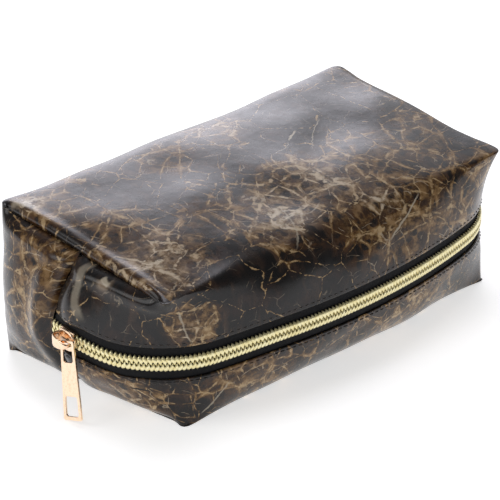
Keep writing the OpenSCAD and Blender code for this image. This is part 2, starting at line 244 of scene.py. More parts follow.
def grid_faces(rows, cols):
    index = np.arange(rows * cols).reshape(rows, cols)
    quads = np.stack([index[:-1, :-1], index[:-1, 1:], index[1:, 1:], index[1:, :-1]], -1)
    return quads.reshape(-1, 4)


def columns(rows):
    """Heights and insets of rows, each as a column."""
    return np.array(rows, float)[:, :1], np.array(rows, float)[:, 1:]


class Sheet:
    """Grid patches gathered into one mesh, with a fabric position at each point."""

    def __init__(self):
        self.points, self.fabric, self.press, self.ease, self.faces = [], [], [], [], []
        self.count = 0

    def patch(self, points, fabric, press=0.0, ease=0.0, flip=False):
        rows, cols = points.shape[:2]
        quads = grid_faces(rows, cols) + self.count
        self.faces.append(quads[:, ::-1] if flip else quads)
        self.points.append(points.reshape(-1, 3))
        self.fabric.append(fabric.reshape(-1, 2))
        for store, value in ((self.press, press), (self.ease, ease)):
            store.append(np.broadcast_to(value, (rows, cols)).reshape(-1))
        self.count += rows * cols

    def weld(self):
        """Joins points that coincide for the shaping, and keeps a seam's two sides apart
        in the mesh, because the print doesn't run across a seam."""
        points, fabric = np.concatenate(self.points), np.concatenate(self.fabric)
        place = np.round(points * 200).astype(np.int64)
        sewn = np.concatenate([place, np.round(fabric * 20).astype(np.int64)], 1)
        _, keep, joined = np.unique(sewn, axis=0, return_index=True, return_inverse=True)
        _, first, body = np.unique(place[keep], axis=0, return_index=True, return_inverse=True)
        faces = joined.ravel()[np.concatenate(self.faces)]
        press, ease = np.concatenate(self.press)[keep], np.concatenate(self.ease)[keep]
        return points[keep], fabric[keep], press, ease, faces, first, body.ravel()


def edges_of(faces):
    pairs = np.concatenate([faces[:, [i, (i + 1) % 4]] for i in range(4)])
    pairs = pairs[pairs[:, 0] != pairs[:, 1]]
    return np.unique(np.sort(pairs, axis=1), axis=0)


def relax(points, faces, weight, rounds):
    """Evens out points by their neighbours, as far as each point's weight allows."""
    pairs = edges_of(faces)
    degree = np.bincount(pairs.ravel(), minlength=len(points)).astype(float)
    degree[degree == 0] = 1
    for _ in range(rounds):
        total = np.zeros_like(points)
        np.add.at(total, pairs[:, 0], points[pairs[:, 1]])
        np.add.at(total, pairs[:, 1], points[pairs[:, 0]])
        points = points + 0.5 * weight[:, None] * (total / degree[:, None] - points)
    return points


def normals_of(points, faces):
    a = points[faces[:, 2]] - points[faces[:, 0]]
    b = points[faces[:, 3]] - points[faces[:, 1]]
    face = np.cross(a, b)
    total = np.zeros_like(points)
    for i in range(4):
        np.add.at(total, faces[:, i], face)
    length = np.linalg.norm(total, axis=1, keepdims=True)
    return total / np.where(length == 0, 1, length)


def groove(distance, tau, x, top):
    """Press of a boxed corner seam at a distance from it; tau is 0 at the tip, 1 mid-end.
    The left end's seams, at x below 0, stay deep as far as their tips. The wall's side of
    the channel is broad, and the panel rolls over it."""
    left = x < 0
    depth = smooth(tau / np.where(left, 0.16, 0.6), 0.0, 1.0) * np.where(left, 1.0, 0.45)
    if top:
        return depth * (0.8 * bump(distance - 4.6, 2.6) - 3.8 * bump(distance, 1.5))
    return depth * (1.3 * bump(distance - 8.6, 3.4) - 3.8 * bump(distance, 3.3))


def coons(left, right, near, far, s, t):
    """A smooth patch between four edges."""
    s, t = s[None, :, None], t[:, None, None]
    sides = left[:, None] * (1 - s) + right[:, None] * s
    ends = near[None] * (1 - t) + far[None] * t
    corners = (near[0] * (1 - s) * (1 - t) + near[-1] * s * (1 - t)
               + far[0] * (1 - s) * t + far[-1] * s * t)
    return sides + ends - corners


def rolled(edge, sign):
    """Rows of a folded edge: heights and insets, from the inside out."""
    turn = [(7.0, 1.35), (3.0, 1.3), (0.9, 1.25), (0.4, 1.15), (0.12, 0.9), (0.0, 0.6),
            (0.12, 0.28), (0.4, 0.07)]
    return [(edge + sign * h, d) for h, d in turn]


class Shell:
    """The pouch's outer form on one grid spacing, cut into the main part, with the lid, and
    the part below the zip at the front."""

    # How far each folded zip edge is kept clear of the plain rows
    LIP = 0.9

    def __init__(self, step, fold=True):
        fine = 0.6 if step < 2.5 else step
        end = graded(TIP * QUARTER, step, fine, fine) / QUARTER
        side = graded((1 - TIP) * QUARTER, step, fine, step) / QUARTER + TIP
        half = np.r_[end, side[1:]]
        self.u = np.r_[half, (2 - half[:-1])[::-1]]
        self.tip, self.far_tip = len(end) - 1, len(self.u) - len(end)
        under, over = EDGE_LOW - self.LIP, EDGE_HIGH + self.LIP
        up = graded(HEIGHT - over, step, 0.5, fine) + over
        low = under - graded(under, step, 0.5, fine)
        band = np.linspace(under, over, 10)[1:-1]
        self.up_rows = [(z, 0.0) for z in up]
        self.low_rows = [(z, 0.0) for z in low]
        self.rear_rows = ([(z, 0.0) for z in low[::-1]] + [(z, 0.0) for z in band]
                          + self.up_rows)
        if fold:
            self.up_rows = rolled(EDGE_HIGH, 1) + self.up_rows
            self.low_rows = rolled(EDGE_LOW, -1) + self.low_rows
        self.main, self.front = Sheet(), Sheet()
        self.reach = {}
        self.walls()
        self.caps()

    def wall_patch(self, side, rows):
        """Points, distances down from the far row, and the edge's own press and ease."""
        p = wall(side, self.u[None, :], *columns(rows))
        mid = p[:, len(self.u) // 2]
        down = np.r_[0, np.cumsum(np.linalg.norm(np.diff(mid[::-1], axis=0), axis=1))][::-1]
        x = (self.u - 1) * QUARTER
        tau = np.clip(1 - np.minimum(self.u, 2 - self.u) / TIP, 0, 1)
        inward = smooth((1 - TIP) * QUARTER - np.abs(x), 2, 40)
        return p, down, x, tau, inward

    def walls(self):
        flat = TIP * QUARTER
        p, down, x, tau, inward = self.wall_patch(-1, self.up_rows)
        fab = np.stack(np.broadcast_arrays(x[None], -flat - down[:, None]), -1)
        self.main.patch(p, fab, groove(down[:, None], tau[None], x[None], False),
                        smooth(17 - down, 0, 10)[:, None] * inward[None])
        self.front_top = p[-1]
        p, down, x, tau, inward = self.wall_patch(1, self.rear_rows)
        fab = np.stack(np.broadcast_arrays(x[None], flat + down[:, None]), -1)
        rise = down[0] - down
        press = groove(down[:, None], tau[None], x[None], False)
        press = press + 0.5 * groove(rise[:, None], tau[None], x[None], False)
        ease = np.maximum(smooth(10 - down, 0, 7), smooth(9 - rise, 0, 6))
        self.main.patch(p, fab, press, ease[:, None] * inward[None], flip=True)
        self.rear_top, self.rear_low = p[-1], p[0]
        self.reach["floor"] = flat + down[0]
        p, down, x, tau, inward = self.wall_patch(-1, self.low_rows)
        base = self.reach["floor"] + 2 * flat
        fab = np.stack(np.broadcast_arrays(x[None], base + down[:, None]), -1)
        self.front.patch(p, fab, 0.5 * groove(down[:, None], tau[None], x[None], False),
                         smooth(9 - down, 0, 6)[:, None] * inward[None], flip=True)
        self.front_low = p[-1]

    def caps(self):
        flat, long = TIP * QUARTER, (1 - TIP) * QUARTER
        x = (self.u[self.tip:self.far_tip + 1] - 1) * QUARTER
        y = np.r_[-self.u[:self.tip + 1][::-1], self.u[1:self.tip + 1]] * QUARTER
        s, t = (x + long) / (2 * long), (y + flat) / (2 * flat)
        tau = 1 - np.abs(y) / flat
        inward = smooth(long - np.abs(x), 2, 40)
        for near, far, dome, top in ((self.front_top, self.rear_top, 4.6, True),
                                     (self.front_low, self.rear_low, 0.0, False)):
            n, m = self.tip, self.far_tip
            left = np.concatenate([near[:n + 1][::-1], far[1:n + 1]])
            right = np.concatenate([near[m:], far[m:-1][::-1]])
            p = coons(left, right, near[n:m + 1], far[n:m + 1], s, t)
            arch = ((1 - (2 * s - 1) ** 2)[None] * (1 - (2 * t - 1) ** 2)[:, None]) ** 0.6
            p[..., 2] += dome * arch
            side = np.minimum(x + long, long - x)
            press = groove(side[None], tau[:, None], x[None], True) * (1.0 if top else 0.5)
            reach = np.where(y < 0, 17, 10) if top else np.full(len(y), 9)
            ease = smooth(reach - (flat - np.abs(y)), 0, 7)[:, None] * inward[None]
            if top:
                fab = np.stack(np.broadcast_arrays(x[None], y[:, None]), -1)
                self.main.patch(p, fab, press, ease)
            else:
                fab = np.stack(np.broadcast_arrays(
                    x[None], self.reach["floor"] + flat - y[:, None]), -1)
                self.main.patch(p[n:], fab[n:], press[n:], ease[n:], flip=True)
                self.front.patch(p[:n + 1], fab[:n + 1], press[:n + 1], ease[:n + 1], flip=True)

    def shape(self, sheet, inset, rounds):
        points, fabric, press, ease, faces, first, body = sheet.weld()
        p, w, push = points[first], ease[first], press[first]
        quads = body[faces]
        p = relax(settle(p), quads, w, rounds)
        out = normals_of(p, quads)
        p = p + out * (push + slack(p) - inset)[:, None]
        p[:, 2] = np.maximum(p[:, 2], 0.02 + inset)
        return p[body], fabric, faces


def mesh_piece(name, points, faces, fabric=None, marks=None):
    """A smooth mesh object from points in mm."""
    mesh = bpy.data.meshes.new(name)
    mesh.from_pydata((points * MM).tolist(), [], [list(dict.fromkeys(f)) for f in faces])
    mesh.validate()
    mesh.shade_smooth()
    if fabric is not None:
        flat = np.concatenate([fabric * CM, np.zeros((len(fabric), 1))], 1)
        store = mesh.attributes.new("fabric", "FLOAT_VECTOR", "POINT")
        store.data.foreach_set("vector", flat.astype(np.float32).ravel())
    rest = mesh.attributes.new("rest", "FLOAT_VECTOR", "POINT")
    rest.data.foreach_set("vector", (points * CM).astype(np.float32).ravel())
    for key, value in (marks or {}).items():
        store = mesh.attributes.new(key, "FLOAT", "POINT")
        store.data.foreach_set("value", value.astype(np.float32))
    obj = bpy.data.objects.new(name, mesh)
    bpy.context.scene.collection.objects.link(obj)
    return obj


def tube_faces(rings, sides):
    """Faces of a closed tube of rings of points, with a flat end at either end."""
    faces = [[i * sides + j, i * sides + (j + 1) % sides,
              (i + 1) * sides + (j + 1) % sides, (i + 1) * sides + j]
             for i in range(rings - 1) for j in range(sides)]
    return faces + [list(range(sides))[::-1], [(rings - 1) * sides + j for j in range(sides)]]


class Parts:
    """Closed swept solids gathered into one mesh."""

    def __init__(self):
        self.points, self.faces, self.count = [], [], 0

    def add(self, points, faces):
        self.points.append(points)
        self.faces += [[i + self.count for i in f] for f in faces]
        self.count += len(points)

    def sweep(self, path, side, up, profile, scale):
        """A profile carried along a path, with a flat end at either end."""
        offset = profile[None] * scale[:, None]
        points = path[:, None] + side[:, None] * offset[..., :1] + up[:, None] * offset[..., 1:]
        self.add(points.reshape(-1, 3), tube_faces(len(path), len(profile)))

    def piece(self, name):
        points = np.concatenate(self.points)
        obj = mesh_piece(name, points, self.faces)
        work = bmesh.new()
        work.from_mesh(obj.data)
        bmesh.ops.recalc_face_normals(work, faces=work.faces)
        work.to_mesh(obj.data)
        work.free()
        return obj


def oval(count, power=2.0):
    t = np.linspace(0, 2 * math.pi, count, endpoint=False)
    c, s = np.cos(t), np.sin(t)
    return np.stack([np.sign(c) * np.abs(c) ** (2 / power),
                     np.sign(s) * np.abs(s) ** (2 / power)], -1)


def same(v, n):
    """One vector for each of n points."""
    return np.tile(np.array(v, float), (n, 1))


UP = (0.0, 0.0, 1.0)


def unit(v):
    return v / np.linalg.norm(v, axis=-1, keepdims=True)


def chain_frame(u, z, d):
    """Centre, tangent along the chain and outward normal at points of the front wall."""
    centre = wall(-1, u, z, d)
    along = unit(wall(-1, u + 0.003, z, d) - wall(-1, u - 0.003, z, d))
    out = unit(np.cross(along, UP))
    return centre, along, out


# ---- materials
class Graph:
    """A node material built by calls; keys of inputs are names or numbers."""

    def __init__(self, name):
        self.material = bpy.data.materials.new(name)
        self.material.use_nodes = True
        self.tree = self.material.node_tree
        self.tree.nodes.clear()

    def node(self, kind, inputs=None, **settings):
        made = self.tree.nodes.new("ShaderNode" + kind)
        for key, value in settings.items():
            setattr(made, key, value)
        for key, value in (inputs or {}).items():
            if isinstance(value, bpy.types.NodeSocket):
                self.tree.links.new(value, made.inputs[key])
            elif value is not None:
                made.inputs[key].default_value = value
        return made

    def math(self, operation, a, b=None, clamp=False):
        return self.node("Math", {0: a, 1: b}, operation=operation, use_clamp=clamp).outputs[0]

    def add(self, a, b):
        return self.math("ADD", a, b)

    def times(self, a, b):
        return self.math("MULTIPLY", a, b)

    def most(self, a, b):
        return self.math("MAXIMUM", a, b)

    def vector(self, operation, a, b=None, scale=None):
        made = self.node("VectorMath", {0: a, 1: b, "Scale": scale}, operation=operation)
        return made.outputs[0]

    def mix(self, share, a, b):
        return self.node("Mix", {0: share, 6: a, 7: b}, data_type="RGBA",
                         clamp_factor=True).outputs[2]

    def step(self, value, low, high, to_low=0.0, to_high=1.0):
        """Goes smoothly from one value to another as the input goes from low to high."""
        return self.node("MapRange", {0: value, 1: low, 2: high, 3: to_low, 4: to_high},
                         interpolation_type="SMOOTHSTEP").outputs[0]

    def noise(self, vector, scale, detail=2.0, rough=0.5, colour=False):
        made = self.node("TexNoise", {"Vector": vector, "Scale": scale, "Detail": detail,
                                      "Roughness": rough})
        return made.outputs[1 if colour else 0]

    def cells(self, vector, scale, feature="DISTANCE_TO_EDGE", output="Distance"):
        made = self.node("TexVoronoi", {"Vector": vector, "Scale": scale}, feature=feature)
        return made.outputs[output]

    def attribute(self, name, output="Fac"):
        return self.node("Attribute", attribute_name=name).outputs[output]

    def warp(self, vector, scale, amount, detail=2.0):
        """Moves the places that a texture is read at by up to half the amount."""
        shift = self.vector("SUBTRACT", self.noise(vector, scale, detail, colour=True),
                            (0.5, 0.5, 0.5))
        return self.vector("ADD", vector, self.vector("SCALE", shift, scale=amount))

    def bump(self, height, strength, distance, normal=None):
        return self.node("Bump", {"Height": height, "Strength": strength,
                                  "Distance": distance, "Normal": normal}).outputs[0]

    def finish(self, inputs):
        shader = self.node("BsdfPrincipled", inputs)
        self.node("OutputMaterial", {0: shader.outputs[0]})
        return self.material


def rgb(r, g, b):
    return (r, g, b, 1.0)


# Half width of the thinnest veins, as a share of a cell
VEIN_THIN = 0.006
# Single pale veins, drawn one by one: three fabric positions in mm, half width, strength
STROKES = [
    ((47, -52), (39, -60), (20, -71), 0.5, 0.8), ((55, 17), (41, 7), (29, -5), 0.25, 0.6),
    ((36, 13), (31, 10), (26, 7), 0.45, 0.9), ((26, 7), (18, 3), (12, 2), 0.25, 0.5),
    ((-93, -64), (-91, -75), (-87, -86), 0.4, 0.6),
    ((-71, 256), (-78, 247), (-90, 238), 0.4, 0.6),
    ((-145, -52), (-142, -68), (-135, -83), 2.0, 0.42),
    ((-134, -58), (-131, -59), (-128, -60), 1.5, 0.8),
    ((-97, 48), (-95, 43), (-92, 38), 1.6, 0.6),
    ((-15, -26), (-19, -42), (-30, -56), 0.35, 0.5), ((-17, -36), (-6, -40), (2, -36), 0.3, 0.5),
]


def marble_sheet():
    """Glossy coated sheet printed with broken dark stone in brown and cream matter."""
    g = Graph("marble_print_sheet")
    flat = g.attribute("fabric", "Vector")
    rest = g.attribute("rest", "Vector")
    dense, cream, dark = (g.attribute(k) for k in ("dense", "cream", "dark"))
    broad = g.warp(g.warp(flat, 0.50, 0.9, 2), 2.2, 0.10, 3)
    fine = g.warp(g.warp(flat, 0.8, 0.35, 2), 2.4, 0.08, 3)
    tiny = g.warp(flat, 1.2, 0.22, 3)
    torn = g.math("SUBTRACT", g.noise(flat, 3.2, 5, 0.65), 0.5)
    cloud = g.step(g.noise(flat, 0.34, 3, 0.55), 0.42, 0.68)
    amount = g.add(g.times(cloud, 0.45), dense)
    # The dark mark takes the veins away: plain dark print, and painted shade along the left boxed
    # seam
    amount = g.math("SUBTRACT", amount, dark, clamp=True)
    uneven = g.step(g.noise(flat, 1.3, 4, 0.65), 0.32, 0.68, 0.3, 1.5)
    pale = g.add(g.times(cream, 0.35), 0.20)

    def veins(vector, scale, thick, start, tear):
        """Brown matter and its pale core in the seams between broken pieces."""
        gap = g.add(g.cells(vector, scale), g.times(torn, tear))
        width = g.times(g.step(amount, start, 1.0, VEIN_THIN, thick), uneven)
        core = g.times(width, pale)
        return (g.step(gap, width, g.times(width, 0.35)), g.step(gap, core, g.times(core, 0.3)))

    # Dark stone, with some pieces warmer or blacker than the rest
    chip = g.node("SeparateColor", {0: g.cells(fine, 1.1, "F1", output="Color")}).outputs
    base = g.mix(g.step(g.noise(broad, 0.9, 4, 0.6), 0.42, 0.72),
                 rgb(0.0035, 0.003, 0.0035), rgb(0.020, 0.009, 0.006))
    cloudy = g.step(g.noise(fine, 2.2, 5, 0.65), 0.38, 0.62)
    warm = g.times(g.times(amount, cloudy), g.step(chip[0], 0.25, 0.75, 0.25, 1.0))
    base = g.mix(warm, base, rgb(0.125, 0.052, 0.014))
    base = g.mix(g.times(g.step(chip[1], 0.55, 0.62), 0.9), base, rgb(0.004, 0.003, 0.003))

    # A wash of brown and cream round the pebbles of crowded places, and drawn-out streaks
    pebble = g.add(g.cells(tiny, 1.9, "F1"), g.times(torn, 0.5))
    washed = g.times(g.step(pebble, 0.36, 0.50), g.step(g.noise(flat, 1.1, 3), 0.38, 0.56))
    base = g.mix(g.times(washed, g.step(dense, 0.25, 0.85, 0.0, 0.75)),
                 base, rgb(0.105, 0.044, 0.012))
    base = g.mix(g.times(washed, g.step(cream, 0.12, 0.75, 0.0, 0.8)),
                 base, rgb(0.34, 0.255, 0.175))
    drawn = g.noise(g.vector("MULTIPLY", broad, (1.0, 0.22, 1.0)), 2.4, 4, 0.6)
    streak = g.times(g.step(drawn, 0.50, 0.66), g.step(amount, 0.0, 0.3, 0.25, 0.7))
    base = g.mix(streak, base, rgb(0.085, 0.045, 0.024))

    # Brown matter in the seams, and the pale core of the wider seams
    active = g.step(amount, 0.0, 0.35)
    crowd = g.step(amount, 0.35, 0.80)
    halo, core = veins(broad, 0.42, 0.15, 0.0, 0.09)
    fine_halo, fine_core = veins(fine, 0.85, 0.15, 0.05, 0.12)
    halo = g.most(halo, g.times(fine_halo, active))
    halo = g.most(halo, g.times(g.step(pebble, 0.46, 0.58), g.times(crowd, 0.8)))
    shade = g.noise(flat, 1.7, 6, 0.68)
    brown = g.mix(g.step(shade, 0.40, 0.62), rgb(0.032, 0.012, 0.004), rgb(0.26, 0.140, 0.042))
    brown = g.mix(g.times(g.step(shade, 0.48, 0.66), g.add(cream, 0.12)),
                  brown, rgb(0.54, 0.44, 0.31))
    colour = g.mix(g.times(halo, 0.92), base, brown)
    broken = g.step(g.noise(flat, 2.6, 4, 0.6), 0.40, 0.58, 0.05, 1.0)
    core = g.most(core, g.times(fine_core, active))
    bright = g.mix(g.times(cream, 0.9), rgb(0.46, 0.32, 0.165), rgb(0.70, 0.62, 0.50))
    colour = g.mix(g.times(core, broken), colour, bright)

    # Hair lines, specks and the single veins
    hair = g.step(g.cells(g.warp(broad, 2.0, 0.2, 3), 0.9), 0.018, 0.004)
    hair = g.times(hair, g.step(g.noise(flat, 1.5, 3), 0.50, 0.60))
    hair = g.times(hair, g.step(amount, 0.02, 0.5, 0.25, 0.7))
    colour = g.mix(hair, colour, rgb(0.50, 0.40, 0.28))
    dust = g.times(g.step(g.noise(tiny, 9.0, 4, 0.75), 0.60, 0.70),
                   g.step(amount, 0.25, 1.0, 0.0, 0.6))
    colour = g.mix(dust, colour, rgb(0.44, 0.31, 0.16))
    ragged = g.warp(g.warp(flat, 1.2, 0.35, 3), 6.0, 0.09, 4)
    for start, middle, end, half, strength in STROKES:
        line = hand_vein(g, ragged, start, middle, end, half)
        colour = g.mix(g.times(line, strength), colour, rgb(0.52, 0.45, 0.34))

    grain = g.cells(rest, 14.0, "SMOOTH_F1")
    wrinkle = g.noise(rest, 1.1, 3, 0.5)
    normal = g.bump(wrinkle, 0.25, 0.0008, g.bump(grain, 0.05, 0.0002))
    rough = g.step(g.noise(rest, 1.6, 4, 0.6), 0.3, 0.7, 0.22, 0.34)
    return g.finish({"Base Color": colour, "Roughness": rough, "Normal": normal,
                     "Specular IOR Level": 0.15, "Coat Weight": 0.5, "Coat Roughness": 0.24,
                     "Coat Normal": g.bump(wrinkle, 0.2, 0.0006)})


def hand_vein(g, at, start, middle, end, half):
    """A pale vein along an arc through three fabric points in mm, half its width."""
    a, m, b = (np.array(p) * CM for p in (start, middle, end))
    centre, along = (a + b) / 2, (b - a) / 2
    long = float(np.hypot(*along))
    across = np.array([-along[1], along[0]]) / long
    bend = float((m - centre) @ across)
    moved = g.node("Mapping", {0: at, 1: (*centre, 0.0),
                               2: (0.0, 0.0, math.atan2(along[1], along[0]))},
                   vector_type="TEXTURE").outputs[0]
    part = g.node("SeparateXYZ", {0: moved}).outputs
    share = g.math("DIVIDE", part[0], long)
    arc = g.times(g.math("SUBTRACT", 1.0, g.times(share, share)), bend)
    off = g.math("ABSOLUTE", g.math("SUBTRACT", part[1], arc))
    return g.times(g.step(off, half * 1.4 * CM, half * 0.5 * CM),
                   g.step(g.math("ABSOLUTE", share), 1.0, 0.6))


def woven(name, dark, light, pitch, rough, sheen):
    """Plain weave with yarns that cross at a pitch in millimetres."""
    g = Graph(name)
    at = g.attribute("rest", "Vector")
    turn = 2 * math.pi / (pitch * CM)
    part = g.node("SeparateXYZ", {0: at}).outputs
    warp_yarn = g.math("SINE", g.times(g.add(part[0], part[1]), turn))
    weft = g.math("SINE", g.times(part[2], turn))
    height = g.times(warp_yarn, weft)
    uneven = g.times(g.math("SUBTRACT", g.noise(at, 9.0, 4), 0.5), 0.6)
    tone = g.math("ADD", g.step(height, -1.0, 1.0), uneven, clamp=True)
    return g.finish({"Base Color": g.mix(tone, dark, light), "Roughness": rough,
                     "Normal": g.bump(height, 0.5, 0.0001), "Specular IOR Level": 0.25,
                     "Sheen Weight": sheen, "Sheen Roughness": 0.5})


def felt():
    g = Graph("felt")
    at = g.attribute("rest", "Vector")
    fibre = g.noise(g.warp(at, 6.0, 0.3), 22.0, 5, 0.75)
    colour = g.mix(fibre, rgb(0.50, 0.49, 0.46), rgb(0.80, 0.79, 0.75))
    return g.finish({"Base Color": colour, "Roughness": 0.95,
                     "Normal": g.bump(fibre, 0.6, 0.0002), "Sheen Weight": 0.4})


def metal(name, tint, deep, rough, stretch):
    """Polished plated metal with fine brushed scratches and a little wear in its colour."""
    g = Graph(name)
    at = g.node("TexCoord").outputs["Object"]
    long = g.vector("MULTIPLY", at, stretch)
    scratch = g.noise(long, 1.0, 4, 0.7)
    wear = g.noise(at, 700.0, 3, 0.6)
    colour = g.mix(g.step(wear, 0.42, 0.75), tint, deep)
    return g.finish({"Base Color": colour, "Metallic": 1.0,
                     "Roughness": g.step(scratch, 0.3, 0.7, rough * 0.8, rough * 1.25),
                     "Normal": g.bump(scratch, 0.06, 0.0001)})


def plated_coil():
    g = Graph("plated_coil")
    at = g.attribute("rest", "Vector")
    blotch = g.noise(at, 5.0, 3, 0.6)
    colour = g.mix(g.step(blotch, 0.35, 0.7), rgb(0.94, 0.86, 0.52), rgb(0.84, 0.73, 0.36))
    return g.finish({"Base Color": colour, "Metallic": 0.75,
                     "Roughness": g.step(g.noise(at, 30.0, 3), 0.3, 0.7, 0.24, 0.38),
                     "Normal": g.bump(g.noise(at, 60.0, 2), 0.15, 0.00005),
                     "Coat Weight": 0.3, "Coat Roughness": 0.2})


def spun_thread():
    g = Graph("spun_thread")
    at = g.attribute("rest", "Vector")
    ply = g.noise(at, 25.0, 3, 0.6)
    colour = g.mix(ply, rgb(0.012, 0.009, 0.008), rgb(0.07, 0.05, 0.04))
    return g.finish({"Base Color": colour, "Roughness": 0.6,
                     "Normal": g.bump(ply, 0.5, 0.0001), "Sheen Weight": 0.3})


MARBLE = marble_sheet()
TAPE = woven("woven_tape", rgb(0.004, 0.004, 0.005), rgb(0.012, 0.012, 0.014), 0.55, 0.8, 0.04)
LINING = woven("lining_cloth", rgb(0.012, 0.012, 0.014), rgb(0.055, 0.055, 0.06), 0.4, 0.6, 0.3)
BINDING = woven("binding_cloth", rgb(0.005, 0.005, 0.006), rgb(0.028, 0.027, 0.03), 0.8, 0.8, 0.3)
FELT = felt()
COIL = plated_coil()
THREAD = spun_thread()
ROSE = metal("rose_gold", rgb(0.96, 0.74, 0.54), rgb(0.90, 0.62, 0.42), 0.16,
             (400.0, 400.0, 2500.0))
SPRING = metal("spring_steel", rgb(0.72, 0.72, 0.74), rgb(0.55, 0.55, 0.58), 0.28,
               (300.0, 300.0, 3000.0))


def dress(obj, material):
    obj.data.materials.clear()
    obj.data.materials.append(material)
    return obj


def on_flap(obj):
    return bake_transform(obj)


# ---- the outer sheet's print
# Where the print is crowded with veins, pale or plain dark, and where painted shade lies along
# the
# left boxed seam: fabric position in mm from the middle of the top, radius and strength
DENSE = [
    (-83, -30, 24, 0.85), (-18, -36, 26, 1.0), (15, -28, 28, 0.9), (26, -50, 24, 0.95),
    (8, -62, 26, 0.8), (47, -58, 20, 0.85), (62, -24, 24, 0.6), (-90, 30, 20, 0.8),
    (-78, 4, 24, 0.55), (-98, -8, 16, 0.8), (-99, -34, 12, 0.7), (-22, 34, 20, 0.65),
    (10, 38, 22, 0.7), (-45, -12, 26, 0.5), (-145, 66, 28, 0.85), (-89, -76, 13, 0.75),
    (-120, 248, 16, 0.9), (95, -58, 16, 0.8), (74, -74, 16, 0.5), (-60, 250, 30, 0.5),
    (30, 250, 50, 0.45), (90, 20, 24, 0.5), (0, 110, 60, 0.5), (80, 120, 40, 0.6),
    (-70, 150, 40, 0.6), (34, -84, 24, 0.5), (72, -86, 24, 0.5), (2, -84, 18, 0.4)]
CREAM = [
    (-83, -28, 16, 0.8), (-84, -42, 9, 0.6), (-18, -38, 13, 0.95), (-8, -24, 12, 0.6),
    (16, -26, 14, 0.6), (26, -48, 9, 0.75), (-92, 43, 7, 1.0), (-131, -60, 4, 0.95),
    (-121, 247, 8, 0.6), (10, 40, 10, 0.5), (-90, -78, 5, 0.7)]
DARK_PRINT_AND_SEAM_SHADE = [
    (-72, -55, 11, 1.0), (-55, -55, 12, 1.0), (-14.5, -50, 4.5, 1.2), (-16, -76, 22, 0.7),
    (-50, -76, 22, 0.8), (66, 22, 20, 0.8), (32, 16, 18, 0.7), (-116, -74, 20, 0.8),
    (-56, 10, 14, 0.5), (-34, 8, 12, 0.4), (0, 62, 30, 0.5)]
# A row of plain dark along the top's edge at the left boxed seam: painted shade of the seam's
# groove, not print
DARK_PRINT_AND_SEAM_SHADE += [(-102, y, 5, 0.9) for y in range(-50, 54, 6)]


def blobs(fabric, listed):
    total = np.zeros(len(fabric))
    for x, y, radius, strength in listed:
        away = np.hypot(fabric[:, 0] - x, fabric[:, 1] - y)
        total = np.maximum(total, strength * np.exp(-(away / radius) ** 2))
    return total


def marks(fabric):
    return {"dense": blobs(fabric, DENSE), "cream": blobs(fabric, CREAM),
            "dark": blobs(fabric, DARK_PRINT_AND_SEAM_SHADE)}


# ---- soft layers
def layer(step, inset, fold, names, material, replaced):
    """One layer of the fabric at an inset: its main part, with the lid, and the
    part below the zip. A fine grid needs more rounds of relaxing."""
    shell = Shell(step, fold)
    made = []
    for sheet, name in ((shell.main, names[0]), (shell.front, names[1])):
        points, fabric, faces = shell.shape(sheet, inset, 60 if step < 2 else 12)
        obj = mesh_piece(name, points, faces.tolist(), fabric,
                         marks(fabric) if material is MARBLE else None)
        made.append(dress(obj, material))
    main, front = made
    on_flap(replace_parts(main, *replaced))
    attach(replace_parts(front, replaced[0]), "pouch")


layer(1.5, 0.0, True, ("outer_sheet_main", "outer_sheet_front_lower"), MARBLE,
      ("outer_body", "outer_flap"))
layer(4.0, 1.9, False, ("interlining_main", "interlining_front_lower"), FELT,
      ("interlining_body", "interlining_flap"))
layer(3.0, 2.6, False, ("lining_main", "lining_front_lower"), LINING,
      ("lining_body", "lining_flap"))


# ---- zip
def strip_piece(name, rows):
    """A thin ribbon along the front wall; rows are heights and insets round its section."""
    u = np.linspace(0, 2, 210)
    points = wall(-1, u[None], *columns(rows))
    obj = mesh_piece(name, points.reshape(-1, 3), grid_faces(len(rows), len(u)).tolist())
    return dress(obj, TAPE)


# How far the tape is held behind the sheet, and the insets of its face and back
TAPE_HELD, TAPE_FACE, TAPE_BACK = 3.6, 1.3, 1.9


def tape_rows(sign):
    edge = ZIP_Z + sign * 0.5
    far = EDGE_HIGH + TAPE_HELD if sign > 0 else EDGE_LOW - TAPE_HELD
    front = [(z, TAPE_FACE) for z in np.linspace(far, edge + sign * 0.2, 9)]
    back = [(z, TAPE_BACK) for z in np.linspace(edge + sign * 0.2, far, 5)]
    return front + [(edge, TAPE_FACE + 0.15), (edge, TAPE_BACK - 0.15)] + back


tape_low = strip_piece("tape_lower", tape_rows(-1))
tape_high = strip_piece("tape_upper", tape_rows(1))
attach(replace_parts(tape_low, "zip_tape_lower"), "pouch")
on_flap(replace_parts(tape_high, "zip_tape_upper", "zip_tape_upper_left_end",
                    "zip_tape_upper_right_end"))

# Distance between coil turns
PITCH = 1.95
# A coil turn from its outer end to its head past the middle: height from the zip's middle,
# inset, half width, half thickness
TURN = np.array([
    (3.62, 0.85, 0.24, 0.26), (3.42, 0.50, 0.48, 0.44), (3.00, 0.20, 0.82, 0.54),
    (2.45, 0.05, 1.20, 0.60), (1.80, 0.00, 1.30, 0.62), (1.25, -0.02, 1.15, 0.62),
    (0.76, -0.04, 0.68, 0.60), (0.25, -0.02, 0.40, 0.54), (-0.30, 0.08, 0.36, 0.44),
    (-0.50, 0.25, 0.20, 0.24)])


